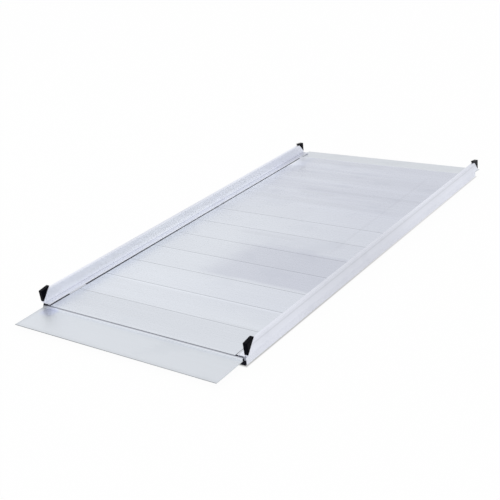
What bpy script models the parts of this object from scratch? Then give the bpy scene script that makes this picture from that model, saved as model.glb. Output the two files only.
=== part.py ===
# One-piece aluminium wheelchair ramp, lying flat on its two side rails.
# Metres, +Z up. X runs across the ramp and +Y up it, from the hinged approach flap to the top lip.
# The origin is on the ground under the middle of the ramp.
import math

import bmesh
import bpy
from mathutils import Matrix, Vector

# Deck: crosswise plank extrusions that hook into each other.
PLANK_COUNT = 12
PLANK_PITCH = 0.1524
PLANK_LENGTH = 0.900
DECK_HEIGHT = 0.032
TOP_SKIN = 0.0024
BOTTOM_SKIN = 0.0018
PLANK_WEB = 0.0016
EDGE_WALL = 0.002
CELLS_PER_PLANK = 4
EDGE_CHAMFER = 0.0008

# Hook that joins one plank to the next.
HOOK_REACH = 0.0066
HOOK_LEG = 0.003
HOOK_ARM = 0.0036
HOOK_DROP = 0.0064

# Side rail: a hollow box beside the planks, a ledge under them and a hollow curb above.
BOX_WIDTH = 0.0315
BOX_RISE = 0.0024
BOX_WALL = 0.0025
BOX_CORNER = 0.0025
LEDGE_REACH = 0.025
LEDGE_THICKNESS = 0.003
END_GROOVE = 0.009
CURB_HEIGHT = 0.051
CURB_THICKNESS = 0.015
CURB_OVERHANG = 0.0115
CURB_WALL = 0.0022
CURB_CORNER = 0.004
CURB_SKIRT = 0.004
CURB_BROW = 0.007
RAIL_SETBACK = 0.004
RAIL_OVERRUN = 0.063
MITRE_BASE = 0.012
MITRE_LENGTH = 0.026

# Moulded caps: a wedge over each mitred curb end, a plug in each box end.
CAP_SKIN = 0.0017
CAP_NOSE = 0.0035
CAP_NOSE_RISE = 0.003
CAP_LENGTH = 0.0425
CAP_HEEL_RISE = 0.0095
CAP_HIP_LENGTH = 0.030
CAP_HIP_DROP = 0.004
CAP_FOOT_OUT = 0.0018
CAP_FOOT_HEIGHT = 0.008
CAP_ROUNDING = 0.0026
CAP_ROUNDING_STEPS = 3
CAP_STUB_DEPTH = 0.014
PLUG_RIM_INSET = 0.0005
PLUG_ROUNDING = 0.004
PLUG_RIM_THICKNESS = 0.004
PLUG_DEPTH = 0.015
PLUG_WALL = 0.002

# Hinge: a bead on the deck's end profile, and the flap's split knuckle that turns round it.
NOSE_DEPTH = 0.0094
NOSE_ROUNDING = 0.0008
HINGE_OUT = 0.003
HINGE_DROP = 0.0072
KNUCKLE_RADIUS = 0.006
KNUCKLE_WALL = 0.0016
NECK_THICKNESS = 0.002
NECK_ANGLE = math.radians(-70.0)
NECK_FOOT = 0.0024
FLAP_UP = math.radians(85.0)
FLAP_DOWN = math.radians(15.0)
PIN_RADIUS = 0.0012
PIN_BESIDE = 0.0022
PIN_TILT = math.radians(52.0)
PIN_HOLE_SPARE = 0.002

# Approach flap: a plate that grows out of the knuckle, drooping slightly at rest.
FLAP_SIDE_INSET = 0.003
FLAP_REACH = 0.154
FLAP_THICKNESS = 0.004
FLAP_TIP_THICKNESS = 0.0028
FLAP_TAPER = 0.030
FLAP_STEP = 0.0082
FLAP_FILLET = 0.0015
FLAP_DROOP = math.radians(1.18)

# Top lip: a hollow root hooked on the last plank, and a plate that slopes down from it.
LIP_REACH = 0.120
LIP_DROP = 0.013
LIP_THICKNESS = 0.004
LIP_ROOT = 0.030
LIP_SIDE_GAP = 0.002

# Welds.
LEFT_WELD_START = 0.109
RIGHT_WELD_START = 0.005
FRONT_WELD_LENGTH = 0.091
REAR_WELD_LENGTH = 0.030
WELD_DEPTH = 0.007
WELD_CROWN = 0.0016
WELD_RIPPLES = 9
WELD_RIPPLE_SHARE = 0.18
WELD_END_FULLNESS = 0.25
WELD_END_SHARPNESS = 8

# Clearances: between pieces that touch, round the hinge bead and round the knuckle.
SEAT_GAP = 0.0003
BEAD_GAP = 0.00025
NECK_GAP = 0.0003
KNUCKLE_GAP = 0.0009
KNUCKLE_ROOM = 0.0008

# Heights and positions worked out from the sizes above.
DECK_UNDERSIDE = LEDGE_THICKNESS + SEAT_GAP
CELL_FLOOR = DECK_UNDERSIDE + BOTTOM_SKIN
CELL_ROOF = DECK_HEIGHT - TOP_SKIN
ARM_TOP = CELL_ROOF - SEAT_GAP
ARM_BOTTOM = ARM_TOP - HOOK_ARM
HOOK_BOTTOM = ARM_BOTTOM - HOOK_DROP
SLOT_BOTTOM = HOOK_BOTTOM - SEAT_GAP
SLOT_CEILING = SLOT_BOTTOM - PLANK_WEB
SLOT_DEPTH = HOOK_REACH + SEAT_GAP
HALF_GAP = SEAT_GAP / 2

PLANK_END = PLANK_LENGTH / 2
BOX_INNER = PLANK_END + END_GROOVE
BOX_OUTER = BOX_INNER + BOX_WIDTH
CURB_OUTER = BOX_OUTER + CURB_OVERHANG
CURB_INNER = CURB_OUTER - CURB_THICKNESS
BOX_TOP = DECK_HEIGHT + BOX_RISE
CURB_TOP = DECK_HEIGHT + CURB_HEIGHT
MITRE_FOOT = DECK_HEIGHT + MITRE_BASE

DECK_START = NOSE_DEPTH
DECK_END = DECK_START + PLANK_COUNT * PLANK_PITCH
RAIL_START = RAIL_SETBACK
RAIL_END = DECK_END + RAIL_OVERRUN
MIDDLE = (DECK_END + LIP_REACH - FLAP_REACH) / 2

HINGE_HEIGHT = DECK_HEIGHT - HINGE_DROP
SOCKET_RADIUS = KNUCKLE_RADIUS - KNUCKLE_WALL
BEAD_RADIUS = SOCKET_RADIUS - BEAD_GAP
RECESS_RADIUS = KNUCKLE_RADIUS + KNUCKLE_GAP
NECK_SWEEP = math.asin((NECK_THICKNESS / 2 + NECK_GAP) / SOCKET_RADIUS)
KNUCKLE_BACK_EDGE = NECK_ANGLE - FLAP_DROOP + NECK_SWEEP + FLAP_UP
KNUCKLE_LOW_EDGE = 2 * math.pi + NECK_ANGLE - FLAP_DROOP - NECK_SWEEP - FLAP_DOWN

FLAP_END = CURB_INNER - FLAP_SIDE_INSET
LIP_END = CURB_INNER
CURB_FLOOR = MITRE_FOOT + CURB_WALL

ROUND_STEPS = 24

ALUMINIUM = (0.68, 0.71, 0.76)
WELD_METAL = (0.60, 0.62, 0.66)
STEEL = (0.42, 0.43, 0.45)
BLACK_PLASTIC = (0.012, 0.012, 0.016)


def clear_scene():
    for item in list(bpy.data.objects):
        bpy.data.objects.remove(item, do_unlink=True)


def material(name, colour, roughness, metallic):
    surface = bpy.data.materials.new(name)
    surface.use_nodes = True
    shader = surface.node_tree.nodes["Principled BSDF"]
    shader.inputs["Base Color"].default_value = (*colour, 1.0)
    shader.inputs["Roughness"].default_value = roughness
    shader.inputs["Metallic"].default_value = metallic
    return surface


def finish_object(bm, name, surface, place, smooth=False):
    """Turn a bmesh into a named object at its place."""
    bmesh.ops.recalc_face_normals(bm, faces=bm.faces)
    mesh = bpy.data.meshes.new(name)
    bm.to_mesh(mesh)
    bm.free()
    if smooth:
        mesh.shade_smooth()
        mesh.set_sharp_from_angle(angle=math.radians(32))
    mesh.materials.append(surface)
    item = bpy.data.objects.new(name, mesh)
    bpy.context.scene.collection.objects.link(item)
    item.location = place
    return item


def arc(centre, radius, start, end, steps):
    """Points on an arc from one angle to another, both ends included."""
    return [polar(centre, radius, start + (end - start) * step / steps) for step in range(steps + 1)]


def polar(centre, radius, angle):
    return (centre[0] + radius * math.cos(angle), centre[1] + radius * math.sin(angle))


def corner(centre, radius, quarter, steps=3):
    """A quarter-round corner. Quarter 0 is the one towards +u and +v, counted round from there."""
    start = quarter * math.pi / 2
    return arc(centre, radius, start, start + math.pi / 2, steps)


def add_prism(bm, loops, low, high, along):
    """A bar of constant section: the first loop is its outline, the others are its hollows."""
    ends = {low: [], high: []}
    for loop in loops:
        rings = {}
        for position in (low, high):
            if along == "X":
                rings[position] = [bm.verts.new((position, u, v)) for u, v in loop]
            else:
                rings[position] = [bm.verts.new((u, position, v)) for u, v in loop]
        count = len(loop)
        for index in range(count):
            after = (index + 1) % count
            first, second = rings[low], rings[high]
            bm.faces.new((first[index], first[after], second[after], second[index]))
        for position in (low, high):
            ring = rings[position]
            for index in range(count):
                ends[position].append(bm.edges.get((ring[index], ring[(index + 1) % count])))
    normal = Vector((1, 0, 0)) if along == "X" else Vector((0, 1, 0))
    for position in (low, high):
        bmesh.ops.triangle_fill(bm, use_beauty=True, edges=ends[position], normal=normal)


def prism(name, loops, low, high, along, surface, place=(0, 0, 0), smooth=False):
    bm = bmesh.new()
    add_prism(bm, loops, low, high, along)
    return finish_object(bm, name, surface, place, smooth)


def hide_as_guide(item):
    item.hide_render = True
    item.display_type = "WIRE"


def boolean(item, cutter, operation):
    hide_as_guide(cutter)
    step = item.modifiers.new(cutter.name, "BOOLEAN")
    step.object = cutter
    step.operation = operation
    step.solver = "EXACT"


def guide_box(name, low, high, place=(0, 0, 0)):
    """A box used only to cut another piece."""
    bm = bmesh.new()
    bmesh.ops.create_cube(bm, size=1.0)
    size = Vector(high) - Vector(low)
    middle = (Vector(high) + Vector(low)) / 2
    bmesh.ops.scale(bm, vec=size, verts=bm.verts)
    bmesh.ops.translate(bm, vec=middle, verts=bm.verts)
    return finish_object(bm, name, MATERIALS["guide"], place)


def hook_points(seam):
    """The hook on a profile's rear edge, going up the edge."""
    inner = seam + HOOK_REACH - HOOK_LEG
    outer = seam + HOOK_REACH
    return [
        (seam - HALF_GAP, ARM_BOTTOM),
        (inner, ARM_BOTTOM),
        (inner, HOOK_BOTTOM),
        (outer, HOOK_BOTTOM),
        (outer, ARM_TOP),
        (seam - HALF_GAP, ARM_TOP),
    ]


def slot_points(seam):
    """The slot that takes the hook, on a profile's front edge, going down the edge."""
    inner = seam + HOOK_REACH - HOOK_LEG - SEAT_GAP
    outer = seam + SLOT_DEPTH
    return [
        (seam + HALF_GAP, CELL_ROOF),
        (outer, CELL_ROOF),
        (outer, SLOT_BOTTOM),
        (inner, SLOT_BOTTOM),
        (inner, ARM_BOTTOM - SEAT_GAP),
        (seam + HALF_GAP, ARM_BOTTOM - SEAT_GAP),
    ]


def slot_cell(seam, far_wall, roof):
    """The hollow beside a slot, which steps under it."""
    near = seam + HALF_GAP + EDGE_WALL
    past = seam + SLOT_DEPTH + PLANK_WEB
    return [
        (near, CELL_FLOOR),
        (near, SLOT_CEILING),
        (past, SLOT_CEILING),
        (past, roof),
        (far_wall, roof),
        (far_wall, CELL_FLOOR),
    ]


def plank_section():
    """Section of one plank, its front seam at 0: hook, slot and hollow cells."""
    rear = PLANK_PITCH
    outline = [(HALF_GAP, DECK_UNDERSIDE), (rear - HALF_GAP, DECK_UNDERSIDE)]
    outline += hook_points(rear)
    outline += [(rear - HALF_GAP, DECK_HEIGHT - EDGE_CHAMFER), (rear - HALF_GAP - EDGE_CHAMFER, DECK_HEIGHT)]
    outline += [(HALF_GAP + EDGE_CHAMFER, DECK_HEIGHT), (HALF_GAP, DECK_HEIGHT - EDGE_CHAMFER)]
    outline += slot_points(0)
    loops = [outline]
    first = SLOT_DEPTH + PLANK_WEB
    last = PLANK_PITCH - HALF_GAP - EDGE_WALL
    cell = (last - first - (CELLS_PER_PLANK - 1) * PLANK_WEB) / CELLS_PER_PLANK
    loops.append(slot_cell(0, first + cell, CELL_ROOF))
    for index in range(1, CELLS_PER_PLANK):
        near = first + index * (cell + PLANK_WEB)
        far = near + cell
        loops.append([(near, CELL_FLOOR), (far, CELL_FLOOR), (far, CELL_ROOF), (near, CELL_ROOF)])
    return loops


def build_planks():
    section = plank_section()
    for number in range(PLANK_COUNT):
        place = (0, DECK_START + number * PLANK_PITCH - MIDDLE, 0)
        name = f"plank_{number + 1:02d}"
        prism(name, section, -PLANK_END, PLANK_END, "X", MATERIALS["deck"], place)


def rail_section(side):
    """Section of a side rail in X and Z, for side +1 or -1."""
    outline = [(BOX_INNER - LEDGE_REACH, 0)]
    outline += corner((BOX_OUTER - BOX_CORNER, BOX_CORNER), BOX_CORNER, 3)
    outline += [(BOX_OUTER, DECK_HEIGHT - CURB_SKIRT), (CURB_OUTER, DECK_HEIGHT + CURB_BROW)]
    outline += corner((CURB_OUTER - CURB_CORNER, CURB_TOP - CURB_CORNER), CURB_CORNER, 0)
    outline += corner((CURB_INNER + CURB_CORNER, CURB_TOP - CURB_CORNER), CURB_CORNER, 1)
    outline += [(CURB_INNER, BOX_TOP)]
    outline += corner((BOX_INNER + BOX_CORNER, BOX_TOP - BOX_CORNER), BOX_CORNER, 1)
    outline += [(BOX_INNER, LEDGE_THICKNESS), (BOX_INNER - LEDGE_REACH, LEDGE_THICKNESS)]
    box_hollow = [
        (BOX_INNER + BOX_WALL, BOX_WALL),
        (BOX_OUTER - BOX_WALL, BOX_WALL),
        (BOX_OUTER - BOX_WALL, BOX_TOP - BOX_WALL),
        (BOX_INNER + BOX_WALL, BOX_TOP - BOX_WALL),
    ]
    curb_hollow = [
        (CURB_INNER + CURB_WALL, CURB_FLOOR),
        (CURB_OUTER - CURB_WALL, CURB_FLOOR),
        (CURB_OUTER - CURB_WALL, CURB_TOP - CURB_WALL),
        (CURB_INNER + CURB_WALL, CURB_TOP - CURB_WALL),
    ]
    return [[(side * x, z) for x, z in loop] for loop in (outline, box_hollow, curb_hollow)]


def mitre_inset(height):
    """How far a curb's mitred face lies inside the rail's end at a height."""
    return MITRE_LENGTH * (height - MITRE_FOOT) / (CURB_TOP - MITRE_FOOT)


def mitre_guide(name, side, end, inward):
    """The wedge that is sawn off a curb at one end."""
    beyond = CURB_HEIGHT
    above = CURB_TOP + CURB_HEIGHT
    profile = [
        (end - inward * beyond, MITRE_FOOT),
        (end, MITRE_FOOT),
        (end + inward * mitre_inset(above), above),
        (end - inward * beyond, above),
    ]
    low = min(side * (CURB_INNER - CURB_THICKNESS), side * (CURB_OUTER + CURB_THICKNESS))
    high = max(side * (CURB_INNER - CURB_THICKNESS), side * (CURB_OUTER + CURB_THICKNESS))
    return prism(name, [profile], low, high, "X", MATERIALS["guide"], (0, -MIDDLE, 0))


def build_rail(name, side):
    place = (0, -MIDDLE, 0)
    rail = prism(name, rail_section(side), RAIL_START, RAIL_END, "Y", MATERIALS["rail"], place, True)
    boolean(rail, mitre_guide(name + "_front_mitre", side, RAIL_START, 1), "DIFFERENCE")
    boolean(rail, mitre_guide(name + "_rear_mitre", side, RAIL_END, -1), "DIFFERENCE")


def mapped_prism(name, profile, across, side, end, inward, surface):
    """A prism whose profile is given as distance inside a rail's end and height."""
    low, high = sorted((side * across[0], side * across[1]))
    points = [(inward * distance, height) for distance, height in profile]
    return prism(name, [points], low, high, "X", surface, (0, end - MIDDLE, 0))


def build_curb_cap(name, side, end, inward):
    """A wedge-shaped cap with side skirts over the mitred curb end and a stub in its hollow."""
    wedge = [
        (-CAP_NOSE, CURB_TOP + CAP_NOSE_RISE),
        (-CAP_FOOT_OUT, DECK_HEIGHT + CAP_FOOT_HEIGHT),
        (CAP_HIP_LENGTH, CURB_TOP - CAP_HIP_DROP),
        (CAP_LENGTH, CURB_TOP + CAP_HEEL_RISE),
    ]
    outside = (CURB_INNER - CAP_SKIN, CURB_OUTER + CAP_SKIN)
    cap = mapped_prism(name, wedge, outside, side, end, inward, MATERIALS["plastic"])
    rounding = cap.modifiers.new("rounded edges", "BEVEL")
    rounding.width = CAP_ROUNDING
    rounding.segments = CAP_ROUNDING_STEPS
    rounding.limit_method = "ANGLE"
    rounding.angle_limit = math.radians(20)

    top = CURB_TOP + SEAT_GAP
    seat = [
        (mitre_inset(top) - SEAT_GAP, top),
        (-SEAT_GAP, MITRE_FOOT),
        (-SEAT_GAP, 0.0),
        (2 * CAP_LENGTH, 0.0),
        (2 * CAP_LENGTH, top),
    ]
    inside = (CURB_INNER - SEAT_GAP, CURB_OUTER + SEAT_GAP)
    curb = mapped_prism(name + "_curb", seat, inside, side, end, inward, MATERIALS["guide"])
    boolean(cap, curb, "DIFFERENCE")

    clear = CURB_WALL + SEAT_GAP
    stub_top = CURB_TOP - clear
    stub_foot = CURB_FLOOR + SEAT_GAP
    overlap = CAP_SKIN
    stub = [
        (mitre_inset(stub_top) - SEAT_GAP - overlap, stub_top),
        (mitre_inset(stub_foot) - SEAT_GAP - overlap, stub_foot),
        (mitre_inset(stub_foot) + CAP_STUB_DEPTH, stub_foot),
        (mitre_inset(stub_top) + CAP_STUB_DEPTH / 2, stub_top),
    ]
    within = (CURB_INNER + clear, CURB_OUTER - clear)
    tongue = mapped_prism(name + "_stub", stub, within, side, end, inward, MATERIALS["guide"])
    boolean(cap, tongue, "UNION")


def build_rail_plug(name, side, end, inward, notched):
    """A hollow plug in the end of a rail's box. A notched one has a thick rim with room for the knuckle."""
    inset = BOX_WALL + SEAT_GAP
    low, high = BOX_INNER + inset, BOX_OUTER - inset
    cup = [(low, inset), (high, inset), (high, BOX_TOP - inset), (low, BOX_TOP - inset)]
    front = -PLUG_RIM_THICKNESS / 2 if notched else 0.0
    plug = box_end_prism(name, cup, (front, PLUG_DEPTH), side, end, inward, MATERIALS["plastic"])
    hollow = [(low + PLUG_WALL, inset + PLUG_WALL), (high - PLUG_WALL, inset + PLUG_WALL),
              (high - PLUG_WALL, BOX_TOP - inset - PLUG_WALL), (low + PLUG_WALL, BOX_TOP - inset - PLUG_WALL)]
    guide = MATERIALS["guide"]
    core = box_end_prism(name + "_core", hollow, (PLUG_WALL, 2 * PLUG_DEPTH), side, end, inward, guide)
    if notched:
        thickness = (-SEAT_GAP - PLUG_RIM_THICKNESS, -SEAT_GAP)
        rim = box_end_prism(name + "_rim", plug_rim_outline(), thickness, side, end, inward, guide)
        below = HINGE_HEIGHT - KNUCKLE_RADIUS - KNUCKLE_ROOM
        beside = FLAP_END + KNUCKLE_ROOM
        within = BOX_INNER - BOX_WALL
        notch = [(within, below), (beside, below), (beside, 2 * BOX_TOP), (within, 2 * BOX_TOP)]
        room = box_end_prism(name + "_notch", notch, (-2 * PLUG_RIM_THICKNESS, 0.0), side, end, inward, guide)
        boolean(plug, rim, "UNION")
        boolean(plug, room, "DIFFERENCE")
    boolean(plug, core, "DIFFERENCE")


def box_end_prism(name, outline, span, side, end, inward, surface):
    """A bar along the rail. The outline is given in distance from the middle plane and height."""
    low, high = sorted((inward * span[0], inward * span[1]))
    points = [(side * x, z) for x, z in outline]
    return prism(name, [points], low, high, "Y", surface, (0, end - MIDDLE, 0))


def plug_rim_outline():
    """The rim's outline, a little inside the box's, with round corners."""
    low, high = BOX_INNER + PLUG_RIM_INSET, BOX_OUTER - PLUG_RIM_INSET
    bottom, top = PLUG_RIM_INSET, BOX_TOP - PLUG_RIM_INSET
    rounding = PLUG_ROUNDING
    outline = corner((high - rounding, top - rounding), rounding, 0, 4)
    outline += corner((low + rounding, top - rounding), rounding, 1, 4)
    outline += corner((low + rounding, bottom + rounding), rounding, 2, 4)
    outline += corner((high - rounding, bottom + rounding), rounding, 3, 4)
    return outline


def build_front_hinge_rail():
    """End profile of the deck: hooks into the first plank and carries the bead that the flap turns on."""
    rear = NOSE_DEPTH
    pivot = (-HINGE_OUT, HINGE_HEIGHT)
    brow = math.acos(HINGE_OUT / RECESS_RADIUS)
    at_recess = math.asin(NECK_THICKNESS / 2 / RECESS_RADIUS)
    at_bead = math.asin(NECK_THICKNESS / 2 / BEAD_RADIUS)
    outline = [(0, DECK_UNDERSIDE), (rear - HALF_GAP, DECK_UNDERSIDE)]
    outline += hook_points(rear)
    outline += [(rear - HALF_GAP, DECK_HEIGHT - EDGE_CHAMFER), (rear - HALF_GAP - EDGE_CHAMFER, DECK_HEIGHT)]
    outline += corner((NOSE_ROUNDING, DECK_HEIGHT - NOSE_ROUNDING), NOSE_ROUNDING, 1)
    outline += arc(pivot, RECESS_RADIUS, brow, NECK_ANGLE + at_recess, 9)
    outline += arc(pivot, BEAD_RADIUS, NECK_ANGLE + at_bead, NECK_ANGLE - at_bead + 2 * math.pi, ROUND_STEPS)
    outline.append(polar(pivot, RECESS_RADIUS, NECK_ANGLE - at_recess))
    outline.append(polar(pivot, RECESS_RADIUS + NECK_FOOT, NECK_ANGLE - at_recess))
    wall = (NOSE_DEPTH - PLANK_WEB) / 3
    roof = HOOK_BOTTOM - HOOK_LEG
    hollow = [(wall, CELL_FLOOR), (NOSE_DEPTH - wall, CELL_FLOOR), (NOSE_DEPTH - wall, roof), (wall, roof)]
    prism("front_hinge_rail", [outline, hollow], -PLANK_END, PLANK_END, "X", MATERIALS["deck"],
          (0, -MIDDLE, 0), True)


def flap_section():
    """The tapered plate and the split knuckle in one section, round the hinge axis."""
    length = (FLAP_REACH - HINGE_OUT) / math.cos(FLAP_DROOP)
    top = HINGE_DROP - FLAP_STEP
    under = top - FLAP_THICKNESS
    tip_under = top - FLAP_TIP_THICKNESS
    edge = FLAP_TIP_THICKNESS / 4
    reach = KNUCKLE_RADIUS + FLAP_FILLET
    rise = top + FLAP_FILLET
    fillet = (-math.sqrt(reach ** 2 - rise ** 2), rise)
    towards_fillet = math.pi - math.asin(rise / reach)
    under_plate = math.pi - math.asin(under / KNUCKLE_RADIUS)
    axis = (0, 0)
    outline = arc(axis, KNUCKLE_RADIUS, KNUCKLE_BACK_EDGE, towards_fillet, 12)
    outline += arc(fillet, FLAP_FILLET, towards_fillet - math.pi, -math.pi / 2, 4)[1:]
    outline += [(-length + edge, top), (-length, top - edge), (-length, tip_under + edge)]
    outline += [(-length + edge, tip_under), (-length + FLAP_TAPER, under)]
    outline += arc(axis, KNUCKLE_RADIUS, under_plate, KNUCKLE_LOW_EDGE, 3)
    outline += arc(axis, SOCKET_RADIUS, KNUCKLE_LOW_EDGE, KNUCKLE_BACK_EDGE, ROUND_STEPS)
    return outline


def pin_solid(side, radius, length):
    """A round bar across the flap's knuckle just beside the bead's end, round the hinge axis."""
    bm = bmesh.new()
    bmesh.ops.create_cone(bm, cap_ends=True, segments=12, radius1=radius, radius2=radius, depth=length)
    turn = Matrix.Rotation(PIN_TILT - math.pi / 2, 4, "X")
    place = Matrix.Translation((side * (PLANK_END + PIN_BESIDE), 0, 0))
    bmesh.ops.transform(bm, matrix=place @ turn, verts=bm.verts)
    return bm


def build_flap():
    """The hinged plate and its two pins, which keep it from sliding off the bead."""
    place = (0, -HINGE_OUT - MIDDLE, HINGE_HEIGHT)
    flap = prism("approach_flap", [flap_section()], -FLAP_END, FLAP_END, "X", MATERIALS["flap"], place, True)
    pieces = [flap]
    for side, word in ((-1, "left"), (1, "right")):
        hole = pin_solid(side, PIN_RADIUS + SEAT_GAP, 2 * (KNUCKLE_RADIUS + PIN_HOLE_SPARE))
        guide = finish_object(hole, f"{word}_hinge_pin_hole", MATERIALS["guide"], place)
        boolean(flap, guide, "DIFFERENCE")
        bar = pin_solid(side, PIN_RADIUS, 2 * KNUCKLE_RADIUS)
        pin = finish_object(bar, f"{word}_hinge_pin", MATERIALS["steel"], place, True)
        pieces += [guide, pin]
    for piece in pieces:
        piece.rotation_euler.x = FLAP_DROOP


def build_top_lip():
    """The sloping plate at the top end, notched round the rails, with a hollow root."""
    slope = LIP_DROP / LIP_REACH
    edge = LIP_THICKNESS / 4

    def surface(y):
        return DECK_HEIGHT - slope * y

    outline = [
        (HALF_GAP, DECK_UNDERSIDE),
        (LIP_ROOT, DECK_UNDERSIDE),
        (LIP_ROOT, surface(LIP_ROOT) - LIP_THICKNESS),
        (LIP_REACH - edge, surface(LIP_REACH) - LIP_THICKNESS),
        (LIP_REACH, surface(LIP_REACH) - LIP_THICKNESS + edge),
        (LIP_REACH, surface(LIP_REACH) - edge),
        (LIP_REACH - edge, surface(LIP_REACH - edge)),
        (HALF_GAP + EDGE_CHAMFER, surface(HALF_GAP + EDGE_CHAMFER)),
        (HALF_GAP, surface(HALF_GAP) - EDGE_CHAMFER),
    ]
    outline += slot_points(0)
    hollow = slot_cell(0, LIP_ROOT - PLANK_WEB, surface(LIP_ROOT) - LIP_THICKNESS)
    place = (0, DECK_END - MIDDLE, 0)
    lip = prism("top_lip", [outline, hollow], -LIP_END, LIP_END, "X", MATERIALS["flap"], place)
    notch_depth = RAIL_OVERRUN + LIP_SIDE_GAP
    inner = BOX_INNER - LIP_SIDE_GAP
    for side, word in ((-1, "left"), (1, "right")):
        low, high = sorted((side * inner, side * 2 * LIP_END))
        notch = guide_box(f"lip_notch_{word}", (low, -LIP_ROOT, -DECK_HEIGHT),
                          (high, notch_depth, 2 * DECK_HEIGHT), place)
        boolean(lip, notch, "DIFFERENCE")


def weld_bead(bm, side, start, end):
    """A crowned and rippled bead laid in the groove between the plank ends and a rail."""
    middle = (PLANK_END + BOX_INNER) / 2
    half = (BOX_INNER - PLANK_END) / 2 - SEAT_GAP
    shoulder = DECK_HEIGHT - EDGE_CHAMFER
    steps = 2 * WELD_RIPPLES
    rings = []
    for step in range(steps + 1):
        from_middle = abs(2 * step / steps - 1)
        swell = math.sqrt(1 - from_middle ** WELD_END_SHARPNESS)
        fullness = WELD_END_FULLNESS + (1 - WELD_END_FULLNESS) * swell
        ripple = 1 + WELD_RIPPLE_SHARE * math.cos(step * math.pi)
        crown = (WELD_CROWN * ripple + EDGE_CHAMFER) * fullness
        foot = shoulder - WELD_DEPTH * fullness
        points = [(middle - half, foot), (middle + half, foot)]
        for across, up in arc((0, 0), 1.0, 0.0, math.pi, 6):
            points.append((middle + half * across, shoulder + crown * up))
        y = start + (end - start) * step / steps - MIDDLE
        rings.append([bm.verts.new((side * x, y, z)) for x, z in points])
    count = len(rings[0])
    for first, second in zip(rings, rings[1:]):
        for index in range(count):
            after = (index + 1) % count
            bm.faces.new((first[index], first[after], second[after], second[index]))
    bm.faces.new(rings[0])
    bm.faces.new(reversed(rings[-1]))


def build_groove_weld(name, side, start, end):
    bm = bmesh.new()
    weld_bead(bm, side, start, end)
    finish_object(bm, name, MATERIALS["weld"], (0, 0, 0), True)


def build_ramp():
    build_rail("left_side_rail", -1)
    build_rail("right_side_rail", 1)
    build_planks()
    build_front_hinge_rail()
    build_flap()
    build_top_lip()
    ends = (("front", RAIL_START, 1, True), ("rear", RAIL_END, -1, False))
    for side, word, weld_start in ((-1, "left", LEFT_WELD_START), (1, "right", RIGHT_WELD_START)):
        for where, end, inward, notched in ends:
            build_curb_cap(f"{where}_{word}_curb_cap", side, end, inward)
            build_rail_plug(f"{where}_{word}_rail_plug", side, end, inward, notched)
        build_groove_weld(f"front_{word}_weld", side, weld_start, weld_start + FRONT_WELD_LENGTH)
        build_groove_weld(f"rear_{word}_weld", side, DECK_END - REAR_WELD_LENGTH, DECK_END - SEAT_GAP)


clear_scene()
MATERIALS = {
    "deck": material("deck aluminium", ALUMINIUM, 0.32, 1.0),
    "rail": material("rail aluminium", ALUMINIUM, 0.30, 1.0),
    "flap": material("plate aluminium", ALUMINIUM, 0.30, 1.0),
    "weld": material("weld metal", WELD_METAL, 0.45, 1.0),
    "steel": material("pin steel", STEEL, 0.35, 1.0),
    "plastic": material("black plastic", BLACK_PLASTIC, 0.35, 0.0),
    "guide": material("guide", (0.8, 0.2, 0.2), 0.5, 0.0),
}
build_ramp()
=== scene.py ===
"""Looks of the aluminium wheelchair ramp: finishes, studio light, floor and camera."""

import bpy
from mathutils import Matrix, Vector


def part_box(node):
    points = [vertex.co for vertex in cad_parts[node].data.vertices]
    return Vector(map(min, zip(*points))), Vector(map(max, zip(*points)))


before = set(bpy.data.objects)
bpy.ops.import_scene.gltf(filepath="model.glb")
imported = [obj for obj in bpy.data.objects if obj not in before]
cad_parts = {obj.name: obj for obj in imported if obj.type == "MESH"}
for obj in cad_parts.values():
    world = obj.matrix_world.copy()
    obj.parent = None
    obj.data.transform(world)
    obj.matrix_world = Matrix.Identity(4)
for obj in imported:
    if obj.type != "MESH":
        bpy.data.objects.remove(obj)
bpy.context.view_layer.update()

PLANKS = [f"plank_{number:02d}" for number in range(1, 13)]
RAILS = ["left_side_rail", "right_side_rail"]
CORNERS = ["front_left", "front_right", "rear_left", "rear_right"]
CAPS = [f"{corner}_curb_cap" for corner in CORNERS]
PLUGS = [f"{corner}_rail_plug" for corner in CORNERS]
WELDS = [f"{corner}_weld" for corner in CORNERS]
PINS = ["left_hinge_pin", "right_hinge_pin"]

# Places on the ramp, in metres: X runs across it, Y up it from the flap to the lip, and Z up.
PLANK_LOW, PLANK_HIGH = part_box("plank_01")
PLANK_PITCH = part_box("plank_02")[0].y - PLANK_LOW.y
PLANK_END = PLANK_HIGH.x
HOOK_GAP = 0.0003
DECK_START = PLANK_LOW.y - HOOK_GAP / 2
FLAP_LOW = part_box("approach_flap")[0]
FLAP_TIP = FLAP_LOW.y
FLAP_LEFT = FLAP_LOW.x
LIP_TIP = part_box("top_lip")[1].y
RAIL_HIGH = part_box("right_side_rail")[1]
CURB_TOP = RAIL_HIGH.z
FOOTPRINT_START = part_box("front_right_rail_plug")[0].y
FOOTPRINT_STOP = RAIL_HIGH.y

# Corners inside the profiles, which a piece's box doesn't give.
HINGE_EDGE = -0.9012
KNUCKLE_FRONT = -0.9111
CURB_FOOT = 0.0344
CURB_INNER_FACE = 0.487
GROOVE_WALL = 0.459
FOOTPRINT_SIDE = 0.4905

# Colours.
DECK_ALUMINIUM = (0.68, 0.71, 0.765)
DULL_ALUMINIUM = (0.56, 0.582, 0.658)
RIM_ALUMINIUM = (0.615, 0.63, 0.66)
RAIL_ALUMINIUM = (0.77, 0.79, 0.865)
PLATE_ALUMINIUM = (0.69, 0.72, 0.765)
# Painted bluish reflection of the left cap on the flap.
CAP_REFLECTION_BLUE = (0.66, 0.70, 0.84)
WELD_ALUMINIUM = (0.70, 0.72, 0.76)
# Painted shade for the groove beside the planks and for the hinge gap above the knuckle.
GAP_SHADE = (0.16, 0.16, 0.21)
PIN_STEEL = (0.42, 0.43, 0.45)
CAP_BLACK = (0.0006, 0.0006, 0.0030)
PLUG_BLACK = (0.005, 0.005, 0.011)
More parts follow.
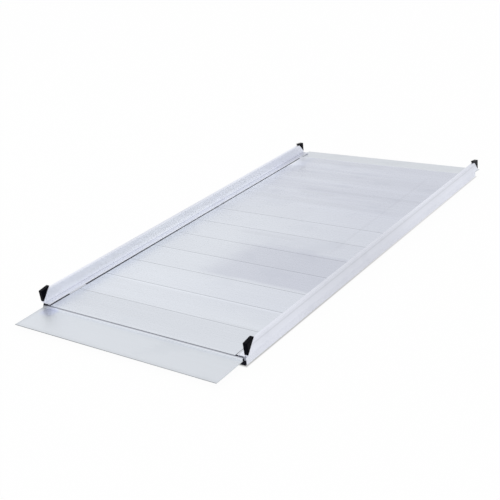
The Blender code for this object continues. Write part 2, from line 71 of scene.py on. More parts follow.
# Painted grey of metal in shade, on the plugs' upper edge.
SHADED_METAL_GREY = (0.36, 0.375, 0.43)
WHITE = (1.0, 1.0, 1.0, 1.0)
PAPER = (0.95, 0.95, 0.95, 1.0)

# Each fade below holds where it starts and stops and its values there, or 0 and 1 where it has no values.
# Each patch holds two corners and the softness of its edges across and along the ramp.

# Marks of the metal.
HAIR_LINES = 620.0
BROAD_LINES = 95.0
HAIR_SHARE = 0.45
LINES_SQUEEZE = 0.012
LINE_TONE = (0.3, 0.7)
LINE_LIGHT = (0.0, 1.0, 0.988, 1.012)
LINE_DULLNESS = (0.0, 1.0, -0.02, 0.04)
SMEAR_SHAPE = (2.4, 3.6, 3.0)
SMEAR_SCALE = 2.2
SMEAR_EDGE = (0.48, 0.72)
SMEAR_LIGHT = 0.985
SMEAR_POLISH = 0.02
SMEAR_DULLNESS = 0.07
SCRATCH_SHAPE = (9.0, 900.0, 9.0)
SCRATCH_EDGE = (0.7, 0.8)
SCRATCH_TURNS = [(0.35, 3.1), (-0.8, 7.7), (1.3, 12.9)]
SCRATCH_POLISH = 0.06
SCRATCH_DEPTH = -0.8
METAL_RELIEF = 0.02
METAL_RELIEF_HEIGHT = 0.0001

# Seams of the deck. The groove's painted shade, the darker margin beside it and the ridge's painted
# highlight are in shares of a plank's pitch.
SEAM_GROOVE_SHADE = (0.0055, 0.0078, 0.5, 0.98)
SEAM_MARGIN = (0.008, 0.024, 0.95, 1.0)
SEAMS_FROM = (DECK_START + 0.03, DECK_START + 0.06)
FIRST_SEAM = (-0.72, -0.64, 0.75, 1.0)
FAR_SEAMS = (0.15, 0.36, 1.0, 0.3)
HOOK_RIDGE_HIGHLIGHT = (0.92, 0.965, 1.0, 1.02)
PLANK_VARIETY = (0.0, 1.0, 0.99, 1.01)

# Lightness of the deck.
SECOND_PLANK_LIGHT = (-0.3, 0.3, 1.058, 1.045)
SECOND_PLANK = (-0.745, -0.715, 0.975)
# Painted sheen that makes the front planks a little lighter.
FRONT_PAINTED_SHEEN = (-0.50, -0.40, 1.025, 1.0)
HINGE_EDGE_SHADE = (HINGE_EDGE, HINGE_EDGE + 0.0006, 0.85, 1.0)
# Painted light on the plank ends along the left groove, in a wide and a narrow band.
RIM_WIDE = (-0.447, -0.375)
RIM_WIDE_PAINTED_LIGHT = (-0.3, 0.5, 1.0, 1.20)
RIM_NARROW = (-0.446, -0.442)
RIM_NARROW_PAINTED_LIGHT = (0.1, 0.5, 1.0, 1.15)
# The rough rear left corner: its extra roughness, and painted light that lifts it.
ROUGH_CORNER = ((-0.50, 0.80), (-0.365, 0.96), 0.03, 0.04)
ROUGH_CORNER_PAINTED_LIGHT = (0.80, 0.90, 1.12, 1.05)
ROUGH_CORNER_DULLNESS = 0.25
LONG_MARK = 0.325
LONG_MARK_EDGE = (0.002, 0.010, 1.0, 0.0)
LONG_MARK_START = (-0.12, -0.05)
LONG_MARK_STOP = (0.78, 0.88, 1.0, 0.0)
LONG_MARK_LIGHT = 0.965

# Lighter and darker bands along the planks: middle and half width along the ramp, from and to across it,
# lightness.
BANDS = [
    (0.900, 0.030, -0.60, 0.05, 0.950),
    (0.832, 0.040, -0.60, 0.60, 1.025),
    (0.720, 0.055, -0.60, 0.60, 0.980),
    (0.628, 0.024, -0.60, 0.60, 1.025),
    (0.534, 0.014, -0.18, 0.60, 0.950),
    (0.488, 0.016, -0.18, 0.02, 0.940),
    (0.388, 0.024, -0.60, 0.20, 0.965),
    (0.342, 0.014, -0.10, 0.60, 1.030),
    (0.235, 0.110, 0.02, 0.60, 1.025),
    (-0.016, 0.014, -0.17, 0.12, 0.960),
    (-0.5955, 0.006, -0.60, 0.60, 1.065),
    (-0.733, 0.006, -0.60, 0.20, 1.050),
]
BAND_CORE = 0.4
BAND_RIM = 1.3
BAND_FADE = 0.05

# Dull patches on the deck, each with how dull it is.
DULL_PATCHES = [
    ((-0.06, -0.415), (0.60, -0.115), 0.10, 0.012, 0.62),
    ((-0.15, -0.12), (0.60, 0.02), 0.08, 0.012, 0.16),
    ((-0.50, -0.92), (-0.40, -0.84), 0.05, 0.015, 0.45),
    ((0.06, -0.115), (0.28, -0.085), 0.05, 0.015, 0.30),
    ((0.15, 0.70), (0.36, 0.76), 0.05, 0.015, 0.22),
    ((-0.20, 0.50), (0.30, 0.56), 0.05, 0.015, 0.20),
]
PATCH_OUTLINE = 9.0
PATCH_WANDER = 0.16
SHIFT_ALONG = 0.15
DULL_RIGHT = (-0.25, 0.42, 0.0, 0.42)
DULL_RIGHT_START = (-0.75, -0.55)
DULL_RIGHT_FAR = (0.2, 0.8, 1.0, 0.8)
DULL_FAR = (-0.2, 0.7, 0.0, 0.75)
STREAK_SHAPE = (0.7, 16.0, 1.0)
STREAK_SCALE = 2.0
STREAKS = (0.35, 0.65, 0.2, -0.1)
STREAKS_FROM = (0.30, 0.45)
RIM_COLOUR = (-0.445, -0.385, 0.8, 0.0)
RIM_COLOUR_FROM = (-0.2, 0.4)
# Painted shade on the planks' sawn ends down in the groove, fading out towards the far end.
SAWN_END = (PLANK_END - 0.0030, PLANK_END - 0.0010)
SAWN_END_SHADE = (-0.75, 0.05, 0.85, 0.0)

# Rails.
# Painted light on the curbs' inner side, stronger up from the foot, and slight painted shade on their outer
# side.
CURB_INNER_PAINTED_LIGHT = (0.035, 0.037, 1.05, 1.225)
CURB_INNER_SIDE = (CURB_INNER_FACE + 0.0002, CURB_INNER_FACE + 0.0015)
CURB_OUTER_PAINTED_SHADE = 0.98
CURB_HEIGHT_LIGHT = (0.044, 0.072, 1.02, 0.985)
# Painted shade in the crease at the curb's inner foot.
FOOT_SHADE = (0.0004, 0.0022, 0.90, 1.0)
FOOT_SHADE_WIDTH = 0.002
# Painted light along the left curb's top edge, and slight painted shade along the right one's.
CURB_EDGE = (CURB_TOP - 0.0015, CURB_TOP - 0.0005, 1.0)
CURB_EDGE_PAINTED_LIGHT = (-0.1, 0.1, 1.055, 0.985)
# Painted shade in a line below the curb's top on its outer side.
BROW_SHADE_HEIGHT = 0.070
BROW_SHADE_LINE = (0.0005, 0.0055, 0.90, 1.0)
BROW_SIDE = (0.499, 0.501)
WEB_SIDE = (0.489, 0.490, 1.0)
# The outer side a little darker around the middle of the ramp and lighter towards its ends.
WEB_TONE_MIDDLE = -0.15
WEB_TONE_ALONG = (0.15, 0.6, 0.95, 1.06)
CURB_FAR_LIGHT = (0.62, 0.92, 1.0, 0.86)
RAIL_CLOUD_SHAPE = (1.0, 0.22, 1.0)
RAIL_CLOUD_SCALE = 6.0
RAIL_CLOUD = (0.3, 0.7, 0.975, 1.02)
# Painted shade down in the groove between the planks and the rail, fading out towards the far end.
GROOVE_SIDE = (GROOVE_WALL + 0.0001, GROOVE_WALL + 0.0006, 1.0, 0.0)
GROOVE_DEPTH = (0.0285, 0.0315, 1.0, 0.0)
GROOVE_FADE = (-0.45, 0.25, 1.0, 0.0)

# Flap and lip.
# Painted shade on the sawn tip edges of the flap and the lip, and close to the flap's tip.
TIP_EDGE = (FLAP_TIP + 0.0006, FLAP_TIP + 0.0012)
TIP_EDGE_SHADE = (-0.25, 0.30, 0.45, 0.62)
TIP_SHADE = (FLAP_TIP, FLAP_TIP + 0.02, 0.93, 1.0)
LIP_SHADE = (0.9, 0.95, 1.0, 0.945)
LIP_EDGE_SHADE = (LIP_TIP - 0.0012, LIP_TIP - 0.0006, 1.0, 0.8)
FLAP_SIDE = (-0.8, -0.7, 1.0, 0.0)
# Painted highlight along the knuckle, dimmed at its left end by a painted reflection of the left cap.
KNUCKLE_PAINTED_LIGHT = (-0.475, -0.375, 0.62, 1.18)
KNUCKLE_EDGE = (KNUCKLE_FRONT - 0.0010, KNUCKLE_FRONT, 1.0)
# Painted shade on the knuckle's top behind the hinge gap, deepest at its left end.
KNUCKLE_SHADE_DEPTH = (-0.470, -0.385, 0.90, 0.54)
KNUCKLE_SHADE_EDGE = (KNUCKLE_FRONT + 0.0010, KNUCKLE_FRONT + 0.0036, 0.0)
# Painted bluish reflection of the left cap in the flap's left corner.
CAP_REFLECTION_PATCH = ((-0.462, -0.955), (-0.400, -0.900), 0.014, 0.016)
REFLECTION_OUTLINE = 14.0
REFLECTION_WANDER = 0.02
# The flap darker towards its left end, and a little darker to the right.
FLAP_LEFT_END_TONE = (FLAP_LEFT, FLAP_LEFT + 0.022, 0.91, 1.0)
FLAP_ACROSS_TONE = (-0.35, 0.35, 0.985, 0.965)

# Plastic. The plugs carry a painted grey of metal in shade near their top, further down at the right one's
# outer end.
SKIN_GRAIN = 900.0
SKIN_CLOUDS = 60.0
SKIN_DULL_EDGE = (0.35, 0.7)
PLASTIC_MARKS = (4.0, 4.0, 4.0)
SCRATCHED_PLASTIC = (0.0, 1.0, 1.0, 2.5)
PLUG_RIGHT_END = (0.473, 0.475)
PLUG_EDGE_START = (0.0, 1.0, 0.0290, 0.0200)
PLUG_EDGE_STOP = (0.0, 1.0, 0.0305, 0.0215)
PLUG_LEFT_END = (-0.468, -0.463)
PLASTIC_DULLNESS = (0.0, 1.0, 0.24, 0.38)
PLASTIC_GLOSS = 0.035
PLASTIC_RELIEF = (0.08, 0.0003)

# Welds and pins.
WELD_GRAIN = 180.0
WELD_RIPPLES = 1400.0
WELD_WANDER = 5.0
WELD_LIGHT = (0.3, 0.7, 0.86, 1.04)
WELD_DULLNESS = (0.3, 0.7, 0.34, 0.5)
WELD_RIPPLE_SHARE = 0.5
WELD_RELIEF = (0.6, 0.0006)
PIN_GRAIN = 700.0
PIN_LIGHT = (0.3, 0.7, 0.85, 1.1)
PIN_DULLNESS = (0.3, 0.7, 0.28, 0.42)
PIN_RELIEF = (0.15, 0.0002)

# Studio.
FLOOR_SIZE = 40.0
FLOOR_DROP = 0.0002
FLOOR_WHITE = 0.96
CONTACT_EDGE = (0.001, 0.0095)
CONTACT_LIGHT = (-0.6, 0.5, 0.51, 0.70)
ROOM_LIGHT = 0.9
SOFTBOX_PLACE = (-2.6, -0.8, 3.6)
SOFTBOX_SIZE = 5.0
SOFTBOX_POWER = 16.0

# Camera.
SENSOR_WIDTH = 36.0
LENS = 66.14
NEAREST = 0.05
FARTHEST = 100.0
CAMERA_PLACE = (2.1782, -2.9391, 1.5699)
CAMERA_RIGHT = (0.8091, 0.5765, -0.1140)
CAMERA_UP = (-0.1486, 0.3884, 0.9094)
CAMERA_BACK = (0.5686, -0.7189, 0.3999)


# Node helpers.


def put(tree, kind, props=None, **feeds):
    """Add a node. Feeds are sockets to link or values to set, by input name."""
    made = tree.nodes.new("ShaderNode" + kind)
    for name, value in (props or {}).items():
        setattr(made, name, value)
    for name, value in feeds.items():
        feed(tree, made.inputs[name.replace("_", " ")], value)
    return made


def feed(tree, socket, value):
    if isinstance(value, bpy.types.NodeSocket):
        tree.links.new(value, socket)
    else:
        socket.default_value = value


def work_out(tree, operation, first, second=0.0, clamp=False):
    made = put(tree, "Math", {"operation": operation, "use_clamp": clamp})
    feed(tree, made.inputs[0], first)
    feed(tree, made.inputs[1], second)
    return made.outputs[0]


def times(tree, *factors):
    total = factors[0]
    for factor in factors[1:]:
        total = work_out(tree, "MULTIPLY", total, factor)
    return total


def plus(tree, *parts):
    total = parts[0]
    for part in parts[1:]:
        total = work_out(tree, "ADD", total, part)
    return total


def minus(tree, first, second):
    return work_out(tree, "SUBTRACT", first, second)


def larger(tree, first, second):
    return work_out(tree, "MAXIMUM", first, second)


def away_from(tree, value, place):
    """How far a value is from a place, to either side."""
    return work_out(tree, "ABSOLUTE", minus(tree, value, place))


def fade(tree, value, start, stop, before=0.0, after=1.0):
    """A smooth step of a value between two limits."""
    made = put(tree, "MapRange", {"interpolation_type": "SMOOTHSTEP"}, Value=value)
    for index, limit in enumerate((start, stop, before, after), 1):
        feed(tree, made.inputs[index], limit)
    return made.outputs[0]


def where(tree, mask, factor):
    """A factor that counts only where the mask is 1."""
    return fade(tree, mask, 0.0, 1.0, 1.0, factor)


def noise(tree, vector, scale, detail=3.0, roughness=0.6):
    made = put(tree, "TexNoise", Vector=vector, Scale=scale, Detail=detail, Roughness=roughness)
    return made.outputs["Fac"]


def stretched(tree, vector, scale):
    return put(tree, "Mapping", Vector=vector, Scale=scale).outputs[0]


def tinted(tree, colour, light):
    """A colour made lighter or darker by a factor."""
    made = put(tree, "VectorMath", {"operation": "SCALE"})
    feed(tree, made.inputs[0], colour)
    feed(tree, made.inputs["Scale"], light)
    return made.outputs[0]


def blended(tree, mask, first, second):
    """One colour turning into another where the mask is 1."""
    made = put(tree, "Mix", {"data_type": "RGBA"})
    feed(tree, made.inputs["Factor"], mask)
    for socket, colour in ((made.inputs[6], first), (made.inputs[7], second)):
        feed(tree, socket, (*colour, 1.0) if isinstance(colour, tuple) else colour)
    return made.outputs[2]


def bumped(tree, height, strength, distance):
    return put(tree, "Bump", Height=height, Strength=strength, Distance=distance).outputs[0]


def split(tree, position):
    axes = put(tree, "SeparateXYZ", Vector=position).outputs
    return axes[0], axes[1], axes[2]


def wander(tree, position, scale, detail, amount):
    """A small uneven shift, as much to one side as to the other."""
    return times(tree, minus(tree, noise(tree, position, scale, detail), 0.5), amount)


def patch(tree, x, y, low, high, soft_across, soft_along, shift=None):
    """A soft-edged patch between two corners, its outline wandering with a shift."""
    if shift is not None:
        x = plus(tree, x, shift)
        y = plus(tree, y, times(tree, shift, SHIFT_ALONG))
    return times(
        tree,
        fade(tree, x, low[0] - soft_across, low[0] + soft_across),
        fade(tree, x, high[0] - soft_across, high[0] + soft_across, 1.0, 0.0),
        fade(tree, y, low[1] - soft_along, low[1] + soft_along),
        fade(tree, y, high[1] - soft_along, high[1] + soft_along, 1.0, 0.0),
    )


def new_group(name, inputs, outputs):
    tree = bpy.data.node_groups.new(name, "ShaderNodeTree")
    for label, kind, value in inputs:
        socket = tree.interface.new_socket(label, in_out="INPUT", socket_type=kind)
        if kind == "NodeSocketFloat":
            socket.default_value = value
    for label in outputs:
        tree.interface.new_socket(label, in_out="OUTPUT", socket_type="NodeSocketFloat")
    return tree, tree.nodes.new("NodeGroupInput").outputs, tree.nodes.new("NodeGroupOutput").inputs


def use_group(tree, group, **feeds):
    made = tree.nodes.new("ShaderNodeGroup")
    made.node_tree = group
    for name, value in feeds.items():
        feed(tree, made.inputs[name.replace("_", " ")], value)
    return made.outputs


def new_material(name, colour, roughness, metallic):
    surface = bpy.data.materials.new(name)
    surface.use_nodes = True
    tree = surface.node_tree
    shader = tree.nodes["Principled BSDF"]
    shader.inputs["Base Color"].default_value = (*colour, 1.0)
    shader.inputs["Roughness"].default_value = roughness
    shader.inputs["Metallic"].default_value = metallic
    position = tree.nodes.new("ShaderNodeTexCoord").outputs["Object"]
    return surface, tree, shader, position


# Shared effects.


def make_drawn_lines():
    """Lines that an extrusion die leaves along a profile. Position comes in already stretched."""
    tree, given, result = new_group(
        "drawn lines",
        [("Position", "NodeSocketVector", None), ("Fineness", "NodeSocketFloat", 1.0)],
        ["Tone", "Height"],
    )
    hair = noise(tree, given["Position"], times(tree, given["Fineness"], HAIR_LINES))
    broad = times(tree, given["Fineness"], BROAD_LINES)
    broad = noise(tree, given["Position"], broad, detail=2.0, roughness=0.55)
    both = plus(tree, times(tree, hair, HAIR_SHARE), times(tree, broad, 1.0 - HAIR_SHARE))
    feed(tree, result["Tone"], fade(tree, both, *LINE_TONE))
    feed(tree, result["Height"], hair)
    return tree


def make_handling_marks():
    """Soft smears and short fine scratches from carrying and rolling."""
    tree, given, result = new_group(
        "handling marks",
        [("Position", "NodeSocketVector", None), ("Amount", "NodeSocketFloat", 1.0)],
        ["Smear", "Scratch"],
    )
    cloud = noise(tree, stretched(tree, given["Position"], SMEAR_SHAPE), SMEAR_SCALE, detail=4.0)
    feed(tree, result["Smear"], times(tree, fade(tree, cloud, *SMEAR_EDGE), given["Amount"]))
    marks = 0.0
    for turn, place in SCRATCH_TURNS:
        turned = put(tree, "Mapping", Vector=given["Position"], Rotation=(0.0, 0.0, turn),
                     Location=(place, 0.0, 0.0))
        turned = stretched(tree, turned.outputs[0], SCRATCH_SHAPE)
        lines = noise(tree, turned, scale=1.0, detail=1.0, roughness=0.4)
        marks = larger(tree, fade(tree, lines, *SCRATCH_EDGE), marks)
    feed(tree, result["Scratch"], times(tree, marks, given["Amount"]))
    return tree


def make_moulded_skin():
    """The slightly uneven skin of an injection moulding."""
    tree, given, result = new_group(
        "moulded skin", [("Position", "NodeSocketVector", None)], ["Height", "Dullness"]
    )
    clouds = noise(tree, given["Position"], SKIN_CLOUDS)
    feed(tree, result["Height"], noise(tree, given["Position"], SKIN_GRAIN))
    feed(tree, result["Dullness"], fade(tree, clouds, *SKIN_DULL_EDGE))
    return tree


# Aluminium.


def paint_aluminium(name, colour, shading, along, roughness, metallic):
    """Mill-finish aluminium drawn along X or Y. Shading gives a lightness, a colour and extra roughness."""
    surface, tree, shader, position = new_material(name, colour, roughness, metallic)
    squeeze = (LINES_SQUEEZE, 1.0, 1.0) if along == "X" else (1.0, LINES_SQUEEZE, 1.0)
    lines = use_group(tree, DRAWN_LINES, Position=stretched(tree, position, squeeze), Fineness=1.0)
    marks = use_group(tree, HANDLING_MARKS, Position=position, Amount=1.0)
    light, body, rougher = shading(tree, position, colour)
    light = times(tree, light, fade(tree, lines["Tone"], *LINE_LIGHT))
    light = times(tree, light, where(tree, marks["Smear"], SMEAR_LIGHT))
    feed(tree, shader.inputs["Base Color"], tinted(tree, body, light))

    smeared = fade(tree, marks["Smear"], 0.0, 1.0, roughness - SMEAR_POLISH, roughness + SMEAR_DULLNESS)
    dull = plus(tree, smeared, fade(tree, lines["Tone"], *LINE_DULLNESS))
    dull = minus(tree, dull, times(tree, marks["Scratch"], SCRATCH_POLISH))
    feed(tree, shader.inputs["Roughness"], plus(tree, dull, rougher))

    relief = plus(tree, lines["Height"], times(tree, marks["Scratch"], SCRATCH_DEPTH))
    feed(tree, shader.inputs["Normal"], bumped(tree, relief, METAL_RELIEF, METAL_RELIEF_HEIGHT))
    return surface


def seam_light(tree, y):
    """Painted shade in the seams between the planks with a slightly darker margin, a painted highlight on
    the ridge before each, and planks of slightly varied tone.
    """
    count = work_out(tree, "DIVIDE", minus(tree, y, DECK_START), PLANK_PITCH)
    share = work_out(tree, "FRACT", count)
    near = work_out(tree, "MINIMUM", share, minus(tree, 1.0, share))
    # Painted shade in each seam's groove, and a slightly darker margin beside it.
    seam_shade = times(tree, fade(tree, near, *SEAM_GROOVE_SHADE), fade(tree, near, *SEAM_MARGIN))
    shown = times(tree, fade(tree, y, *FAR_SEAMS), fade(tree, y, *SEAMS_FROM), fade(tree, y, *FIRST_SEAM))
    # A painted highlight on the hook's ridge just before the next seam.
    ridge_highlight = fade(tree, share, *HOOK_RIDGE_HIGHLIGHT)
    whole = work_out(tree, "FLOOR", count)
    odd = put(tree, "TexWhiteNoise", {"noise_dimensions": "1D"}, W=whole).outputs["Value"]
    return times(tree, where(tree, shown, seam_shade), ridge_highlight, fade(tree, odd, *PLANK_VARIETY))


def band_light(tree, x, y, middle, half, low, high, lightness):
    """A lightness that differs in a soft band along the planks."""
    mask = times(
        tree,
        fade(tree, away_from(tree, y, middle), half * BAND_CORE, half * BAND_RIM, 1.0, 0.0),
        fade(tree, x, low - BAND_FADE, low + BAND_FADE),
        fade(tree, x, high - BAND_FADE, high + BAND_FADE, 1.0, 0.0),
    )
    return where(tree, mask, lightness)


def long_mark_light(tree, x, y):
    """A faint darker line along the ramp, right of its middle."""
    line = fade(tree, away_from(tree, x, LONG_MARK), *LONG_MARK_EDGE)
    mark = times(tree, line, fade(tree, y, *LONG_MARK_START), fade(tree, y, *LONG_MARK_STOP))
    return where(tree, mark, LONG_MARK_LIGHT)


def rim_painted_light(tree, x, y):
    """Painted light on the ends of the planks along the left groove."""
    wide = fade(tree, x, *RIM_WIDE, fade(tree, y, *RIM_WIDE_PAINTED_LIGHT), 1.0)
    narrow = fade(tree, x, *RIM_NARROW, fade(tree, y, *RIM_NARROW_PAINTED_LIGHT), 1.0)
    return times(tree, wide, narrow)


def dullness(tree, position, x, y):
    """How dull the deck is: patches, the right side, and the far planks with their streaks."""
    shift = wander(tree, position, PATCH_OUTLINE, detail=4.0, amount=PATCH_WANDER)
    dull = times(tree, fade(tree, x, *DULL_RIGHT), fade(tree, y, *DULL_RIGHT_START))
    dull = times(tree, dull, fade(tree, y, *DULL_RIGHT_FAR))
    for low, high, soft_across, soft_along, amount in DULL_PATCHES:
        spot = patch(tree, x, y, low, high, soft_across, soft_along, shift)
        dull = plus(tree, dull, times(tree, spot, amount))
    streak = stretched(tree, position, STREAK_SHAPE)
    streak = noise(tree, streak, STREAK_SCALE, detail=4.0, roughness=0.65)
    streaks = times(tree, fade(tree, streak, *STREAKS), fade(tree, y, *STREAKS_FROM))
    return work_out(tree, "ADD", plus(tree, dull, fade(tree, y, *DULL_FAR)), streaks, clamp=True)


def deck_shading(tree, position, colour):
    """Seams, painted sheen in front, painted light by the left groove and in the rough rear corner, lighter
    and darker marks along and across the planks, dull patches, and painted shade on the sawn plank ends.
    """
    x, y = split(tree, position)[:2]
    second_plank = fade(tree, y, *SECOND_PLANK, fade(tree, x, *SECOND_PLANK_LIGHT))
    rough = patch(tree, x, y, *ROUGH_CORNER)
    light = times(
        tree,
        seam_light(tree, y),
        second_plank,
        # painted sheen on the front planks
        fade(tree, y, *FRONT_PAINTED_SHEEN),
        fade(tree, y, *HINGE_EDGE_SHADE),
        rim_painted_light(tree, x, y),
        # painted light in the rough rear corner
        where(tree, rough, fade(tree, y, *ROUGH_CORNER_PAINTED_LIGHT)),
    )
    for band in BANDS:
        light = times(tree, light, band_light(tree, x, y, *band))
    light = times(tree, light, long_mark_light(tree, x, y))

    body = blended(tree, dullness(tree, position, x, y), colour, DULL_ALUMINIUM)
    rim = times(tree, fade(tree, x, *RIM_COLOUR), fade(tree, y, *RIM_COLOUR_FROM))
    body = blended(tree, rim, body, RIM_ALUMINIUM)
    across = work_out(tree, "ABSOLUTE", x)
    # Painted shade on the sawn plank ends in the groove.
    sawn_end_shade = times(tree, fade(tree, across, *SAWN_END), fade(tree, y, *SAWN_END_SHADE))
    return light, blended(tree, sawn_end_shade, body, GAP_SHADE), times(tree, rough, ROUGH_CORNER_DULLNESS)


def rail_shading(tree, position, colour):
    """Painted light on the curbs' inner side and the left curb's top edge, painted shade in the groove
    beside the planks, at the inner foot and in a line below the top outside.
    """
    x, y, z = split(tree, position)
    across = work_out(tree, "ABSOLUTE", x)
    # Painted light on the curbs' inner side, and slight painted shade on their outer side.
    side_painted_light = fade(tree, across, *CURB_INNER_SIDE, fade(tree, z, *CURB_INNER_PAINTED_LIGHT), CURB_OUTER_PAINTED_SHADE)
    far_end = fade(tree, across, *CURB_INNER_SIDE, fade(tree, y, *CURB_FAR_LIGHT), 1.0)
    # Painted shade in the crease at the curb's inner foot.
    foot_shade = fade(tree, away_from(tree, z, CURB_FOOT), *FOOT_SHADE)
    foot_shade = fade(tree, away_from(tree, across, CURB_INNER_FACE), 0.0, FOOT_SHADE_WIDTH, foot_shade, 1.0)
    # Painted light on the left curb's top edge, slight painted shade on the right one's.
    curb_edge_painted_light = fade(tree, z, *CURB_EDGE, fade(tree, x, *CURB_EDGE_PAINTED_LIGHT))
    # Painted shade in a line below the curb's top on its outer side.
    brow_shade = fade(tree, away_from(tree, z, BROW_SHADE_HEIGHT), *BROW_SHADE_LINE)
    # Outer side darker around the middle of the ramp, lighter towards its ends.
    web_tone = fade(tree, away_from(tree, y, WEB_TONE_MIDDLE), *WEB_TONE_ALONG)
    cloudy = noise(tree, stretched(tree, position, RAIL_CLOUD_SHAPE), RAIL_CLOUD_SCALE, roughness=0.5)
    light = times(
        tree,
        side_painted_light,
        far_end,
        foot_shade,
        curb_edge_painted_light,
        fade(tree, z, *CURB_HEIGHT_LIGHT),
        where(tree, fade(tree, across, *BROW_SIDE), brow_shade),
        fade(tree, across, *WEB_SIDE, web_tone),
        fade(tree, cloudy, *RAIL_CLOUD),
    )
    groove = times(tree, fade(tree, across, *GROOVE_SIDE), fade(tree, z, *GROOVE_DEPTH))
    # Painted shade down in the groove beside the planks, fading out towards the far end.
    groove_shade = times(tree, groove, fade(tree, y, *GROOVE_FADE))
    return light, blended(tree, groove_shade, colour, GAP_SHADE), 0.0


def plate_shading(tree, position, colour):
    """Painted shade on the sawn edges, the slightly darker lip, and on the flap a painted highlight and
    painted shade on the knuckle and a painted bluish reflection in the corner.
    """
    x, y = split(tree, position)[:2]
    on_flap = fade(tree, y, *FLAP_SIDE)
    # Painted highlight on the knuckle, dimmed at the left end by a painted reflection of the left cap.
    knuckle_painted_light = fade(tree, y, *KNUCKLE_EDGE, fade(tree, x, *KNUCKLE_PAINTED_LIGHT))
    # Darker towards the flap's left end, and a little darker to the right.
    toned = times(tree, fade(tree, x, *FLAP_LEFT_END_TONE), fade(tree, x, *FLAP_ACROSS_TONE))
    light = times(
        tree,
        # Painted shade on the flap's and lip's sawn tip edges and near the flap's tip; the lip slightly
        # darker.
        fade(tree, y, *TIP_EDGE, fade(tree, x, *TIP_EDGE_SHADE), 1.0),
        fade(tree, y, *TIP_SHADE),
        fade(tree, y, *LIP_SHADE),
        fade(tree, y, *LIP_EDGE_SHADE),
        where(tree, on_flap, knuckle_painted_light),
        where(tree, on_flap, toned),
    )
    # Painted shade on the knuckle's top behind the hinge gap.
    knuckle_shade = fade(tree, y, *KNUCKLE_SHADE_EDGE, fade(tree, x, *KNUCKLE_SHADE_DEPTH))
    body = blended(tree, times(tree, on_flap, knuckle_shade), colour, GAP_SHADE)
    # A painted bluish reflection of the left cap in the flap's left corner.
    shift = wander(tree, position, REFLECTION_OUTLINE, detail=3.0, amount=REFLECTION_WANDER)
    corner = patch(tree, x, y, *CAP_REFLECTION_PATCH, shift)
    return light, blended(tree, corner, body, CAP_REFLECTION_BLUE), 0.0


# Plastic and steel.


def paint_plastic(name, colour, upper_edge):
    """Black moulding. On the plugs the upper edge is painted the grey of metal in shade."""
    surface, tree, shader, position = new_material(name, colour, roughness=0.3, metallic=0.0)
    skin = use_group(tree, MOULDED_SKIN, Position=position)
    marks = use_group(tree, HANDLING_MARKS, Position=stretched(tree, position, PLASTIC_MARKS), Amount=1.0)
    body = tinted(tree, colour, fade(tree, marks["Scratch"], *SCRATCHED_PLASTIC))
    if upper_edge:
        x, _, z = split(tree, position)
        right_end = fade(tree, x, *PLUG_RIGHT_END)
        start = fade(tree, right_end, *PLUG_EDGE_START)
        stop = fade(tree, right_end, *PLUG_EDGE_STOP)
        # Painted grey of metal in shade along the plug's upper edge.
        toned = times(tree, fade(tree, z, start, stop), fade(tree, x, *PLUG_LEFT_END))
        body = blended(tree, toned, body, SHADED_METAL_GREY)
    feed(tree, shader.inputs["Base Color"], body)
    feed(tree, shader.inputs["Roughness"], fade(tree, skin["Dullness"], *PLASTIC_DULLNESS))
    feed(tree, shader.inputs["Normal"], bumped(tree, skin["Height"], *PLASTIC_RELIEF))
    shader.inputs["Specular IOR Level"].default_value = PLASTIC_GLOSS
    return surface


def paint_weld():
    """A weld bead: ripples across it, with a darker heat-stained skin."""
    surface, tree, shader, position = new_material("weld bead", WELD_ALUMINIUM, roughness=0.4, metallic=1.0)
    uneven = noise(tree, position, WELD_GRAIN)
    y = split(tree, position)[1]
    beat = plus(tree, times(tree, y, WELD_RIPPLES), times(tree, uneven, WELD_WANDER))
    ripple = work_out(tree, "SINE", beat)
    feed(tree, shader.inputs["Base Color"], tinted(tree, WELD_ALUMINIUM, fade(tree, uneven, *WELD_LIGHT)))
    feed(tree, shader.inputs["Roughness"], fade(tree, uneven, *WELD_DULLNESS))
    height = plus(tree, times(tree, ripple, WELD_RIPPLE_SHARE), uneven)
    feed(tree, shader.inputs["Normal"], bumped(tree, height, *WELD_RELIEF))
    return surface


def paint_pin():
    """Plain rolled steel with a fine grain."""
    surface, tree, shader, position = new_material("pin steel", PIN_STEEL, roughness=0.35, metallic=1.0)
    grain = noise(tree, position, PIN_GRAIN)
    feed(tree, shader.inputs["Base Color"], tinted(tree, PIN_STEEL, fade(tree, grain, *PIN_LIGHT)))
    feed(tree, shader.inputs["Roughness"], fade(tree, grain, *PIN_DULLNESS))
    feed(tree, shader.inputs["Normal"], bumped(tree, grain, *PIN_RELIEF))
    return surface


def give(nodes, surface):
    for name in nodes:
        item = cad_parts[name]
        item.data.materials.clear()
        item.data.materials.append(surface)


# Studio.


def contact_shade(tree):
    """A narrow darker line on the floor where it meets the rails, as a factor."""
    x, y = split(tree, tree.nodes.new("ShaderNodeTexCoord").outputs["Object"])[:2]
    beside = minus(tree, work_out(tree, "ABSOLUTE", x), FOOTPRINT_SIDE)
    middle = (FOOTPRINT_START + FOOTPRINT_STOP) / 2
    past_ends = minus(tree, away_from(tree, y, middle), FOOTPRINT_STOP - middle)
    outside = larger(tree, beside, past_ends)
    return fade(tree, outside, *CONTACT_EDGE, fade(tree, y, *CONTACT_LIGHT), 1.0)


def seen_rays(tree):
    """The camera's own rays, and all rays that show the background: direct, mirrored or through glass."""
    path = put(tree, "LightPath").outputs
    seen = larger(tree, path["Is Camera Ray"], path["Is Glossy Ray"])
    return path["Is Camera Ray"], larger(tree, seen, path["Is Transmission Ray"])


def mixed(tree, share, first, second):
    made = put(tree, "MixShader")
    for socket, value in zip(made.inputs, (share, first, second)):
        feed(tree, socket, value)
    return made.outputs[0]


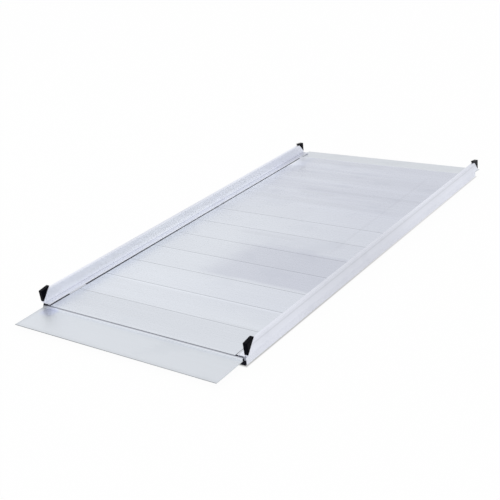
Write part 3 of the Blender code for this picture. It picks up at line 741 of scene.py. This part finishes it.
def lay_floor():
    """A pale floor, white to the camera above it but with the ramp's shadow, and clear from below."""
    bpy.ops.object.select_all(action="DESELECT")
    bpy.ops.mesh.primitive_plane_add(size=FLOOR_SIZE, location=(0.0, 0.0, -FLOOR_DROP))
    floor = bpy.context.object
    floor.name = "studio_floor"
    surface = bpy.data.materials.new("floor paper")
    surface.use_nodes = True
    tree = surface.node_tree
    tree.nodes.clear()
    by_camera, seen = seen_rays(tree)
    paper = put(tree, "BsdfDiffuse", Color=PAPER).outputs[0]
    glow = where(tree, by_camera, contact_shade(tree))
    white = put(tree, "Emission", Color=WHITE, Strength=glow).outputs[0]
    top = mixed(tree, times(tree, seen, FLOOR_WHITE), paper, white)
    clear = put(tree, "BsdfTransparent").outputs[0]
    below = put(tree, "NewGeometry").outputs["Backfacing"]
    output = tree.nodes.new("ShaderNodeOutputMaterial")
    feed(tree, output.inputs["Surface"], mixed(tree, times(tree, below, by_camera), top, clear))
    floor.data.materials.append(surface)


def light_studio():
    """A plain white room, and a broad soft lamp high up on the left."""
    world = bpy.data.worlds.new("studio")
    bpy.context.scene.world = world
    world.use_nodes = True
    tree = world.node_tree
    tree.nodes.clear()
    seen = seen_rays(tree)[1]
    room = put(tree, "Background", Color=WHITE, Strength=fade(tree, seen, 0.0, 1.0, ROOM_LIGHT, 1.0))
    output = tree.nodes.new("ShaderNodeOutputWorld")
    feed(tree, output.inputs["Surface"], room.outputs[0])
    add_softbox("key softbox", SOFTBOX_PLACE, SOFTBOX_SIZE, SOFTBOX_POWER)


def add_softbox(name, place, size, power):
    data = bpy.data.lights.new(name, "AREA")
    data.shape = "SQUARE"
    data.size = size
    data.energy = power
    lamp = bpy.data.objects.new(name, data)
    bpy.context.scene.collection.objects.link(lamp)
    lamp.location = place
    lamp.rotation_mode = "QUATERNION"
    lamp.rotation_quaternion = Vector(place).to_track_quat("Z", "Y")


def set_camera():
    """The photograph's view: from the front right, above, with a slight roll."""
    data = bpy.data.cameras.new("camera")
    data.sensor_width = SENSOR_WIDTH
    data.lens = LENS
    data.clip_start = NEAREST
    data.clip_end = FARTHEST
    camera = bpy.data.objects.new("camera", data)
    bpy.context.scene.collection.objects.link(camera)
    turn = Matrix((CAMERA_RIGHT, CAMERA_UP, CAMERA_BACK)).transposed().to_4x4()
    camera.matrix_world = Matrix.Translation(CAMERA_PLACE) @ turn
    bpy.context.scene.camera = camera


DRAWN_LINES = make_drawn_lines()
HANDLING_MARKS = make_handling_marks()
MOULDED_SKIN = make_moulded_skin()

deck_finish = paint_aluminium(
    "deck aluminium", DECK_ALUMINIUM, deck_shading, along="X", roughness=0.27, metallic=1.0
)
rail_finish = paint_aluminium(
    "rail aluminium", RAIL_ALUMINIUM, rail_shading, along="Y", roughness=0.44, metallic=0.6
)
plate_finish = paint_aluminium(
    "plate aluminium", PLATE_ALUMINIUM, plate_shading, along="X", roughness=0.42, metallic=1.0
)
give(PLANKS + ["front_hinge_rail"], deck_finish)
give(RAILS, rail_finish)
give(["approach_flap", "top_lip"], plate_finish)
give(CAPS, paint_plastic("black cap moulding", CAP_BLACK, upper_edge=False))
give(PLUGS, paint_plastic("black plug moulding", PLUG_BLACK, upper_edge=True))
give(WELDS, paint_weld())
give(PINS, paint_pin())

lay_floor()
light_studio()
set_camera()
bpy.context.scene.view_settings.view_transform = "Standard"
